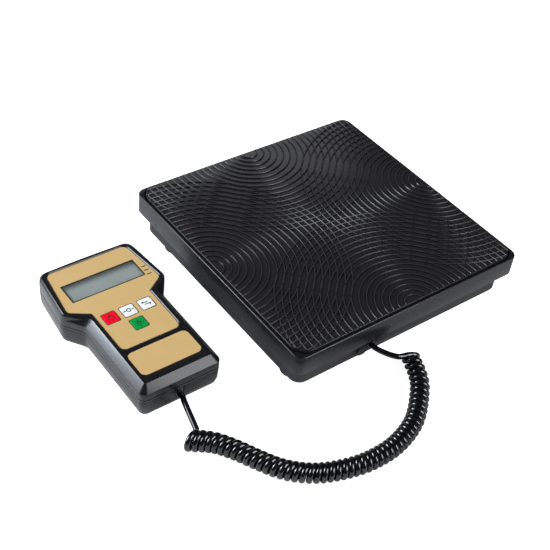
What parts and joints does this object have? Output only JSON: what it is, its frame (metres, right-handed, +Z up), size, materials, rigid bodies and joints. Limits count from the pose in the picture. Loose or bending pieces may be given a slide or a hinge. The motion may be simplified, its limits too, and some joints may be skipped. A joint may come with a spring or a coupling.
{
  "type": "platform scale",
  "caption": "Low square platform scale with a ribbed rubber mat, joined by a curly cord to a hand-held display with keys.",
  "frame": {"origin": "on the floor under the middle of the box round the platform and the handset, the cord left out", "axes": "+X from the handset to the platform, +Y from the corded end of the handset to its display, +Z up"},
  "size_m": [0.3468, 0.3166, 0.0445],
  "materials": {
    "shell_plastic": "satin black moulded plastic",
    "base_plastic": "matte black moulded plastic",
    "mat_rubber": "matte black ribbed rubber",
    "foot_rubber": "matte black rubber",
    "cord_jacket": "glossy black flexible jacket",
    "aluminium": "milled",
    "steel": "zinc plated",
    "gold_film": "gold printed film",
    "window": "grey-green display window",
    "display_glass": "liquid crystal display",
    "white_plastic": "white",
    "board": "green solder mask",
    "switch_plastic": "black",
    "battery_case": "dark grey sleeve",
    "red_key": "red",
    "white_key": "white",
    "green_key": "green"
  },
  "bodies": {
    "base": {"base_tray": "base_plastic", "cord_curls": "cord_jacket", "cord_grommet": "cord_jacket", "cord_lead_handset": "cord_jacket", "cord_lead_platform": "cord_jacket", "foot_front_left": "foot_rubber", "foot_front_right": "foot_rubber", "foot_rear_left": "foot_rubber", "foot_rear_right": "foot_rubber", "load_cell": "aluminium", "load_cell_lead": "cord_jacket", "lower_cell_bolt_1": "steel", "lower_cell_bolt_2": "steel", "lower_spacer": "steel", "stop_screw_front_left": "steel", "stop_screw_front_right": "steel", "stop_screw_rear_left": "steel", "stop_screw_rear_right": "steel"},
    "platform": {"cover_screw_front_left": "steel", "cover_screw_front_right": "steel", "cover_screw_rear_left": "steel", "cover_screw_rear_right": "steel", "rubber_mat": "mat_rubber", "spider": "steel", "top_cover": "shell_plastic", "upper_cell_bolt_1": "steel", "upper_cell_bolt_2": "steel", "upper_spacer": "steel"},
    "handset": {"battery": "battery_case", "battery_snap": "switch_plastic", "case_screw_front_left": "steel", "case_screw_front_right": "steel", "case_screw_rear_left": "steel", "case_screw_rear_right": "steel", "circuit_board": "board", "cord_bush": "cord_jacket", "lcd_frame": "white_plastic", "lcd_panel": "display_glass", "lcd_window": "window", "lower_shell": "shell_plastic", "main_label": "gold_film", "small_label": "gold_film", "switch_lamp": "switch_plastic", "switch_power": "switch_plastic", "switch_unit": "switch_plastic", "switch_zero": "switch_plastic", "upper_shell": "shell_plastic"},
    "battery_cover": {"battery_cover": "shell_plastic"},
    "key_power": {"key_power": "red_key"},
    "key_zero": {"key_zero": "white_key"},
    "key_unit": {"key_unit": "white_key"},
    "key_lamp": {"key_lamp": "green_key"}
  },
  "joints": [
    {"name": "platform_sink", "type": "slide", "parent": "base", "child": "platform", "axis": [0, 0, -1], "range_m": [0, 0.0005], "stiffness_N_per_m": 60000, "springref_m": -0.0003},
    {"name": "handset_carry", "type": "slide", "parent": "base", "child": "handset", "axis": [-1, 0, 0], "range_m": [0, 0.25], "deforming": ["cord_curls", "cord_lead_handset", "cord_lead_platform"]},
    {"name": "battery_cover_slide", "type": "slide", "parent": "handset", "child": "battery_cover", "axis": [0, -1, 0], "range_m": [0, 0.02]},
    {"name": "key_power_press", "type": "slide", "parent": "handset", "child": "key_power", "axis": [0, 0, -1], "range_m": [0, 0.0004], "stiffness_N_per_m": 1500, "springref_m": -0.0004},
    {"name": "key_zero_press", "type": "slide", "parent": "handset", "child": "key_zero", "axis": [0, 0, -1], "range_m": [0, 0.0004], "stiffness_N_per_m": 1500, "springref_m": -0.0004},
    {"name": "key_unit_press", "type": "slide", "parent": "handset", "child": "key_unit", "axis": [0, 0, -1], "range_m": [0, 0.0004], "stiffness_N_per_m": 1500, "springref_m": -0.0004},
    {"name": "key_lamp_press", "type": "slide", "parent": "handset", "child": "key_lamp", "axis": [0, 0, -1], "range_m": [0, 0.0004], "stiffness_N_per_m": 1500, "springref_m": -0.0004}
  ]
}
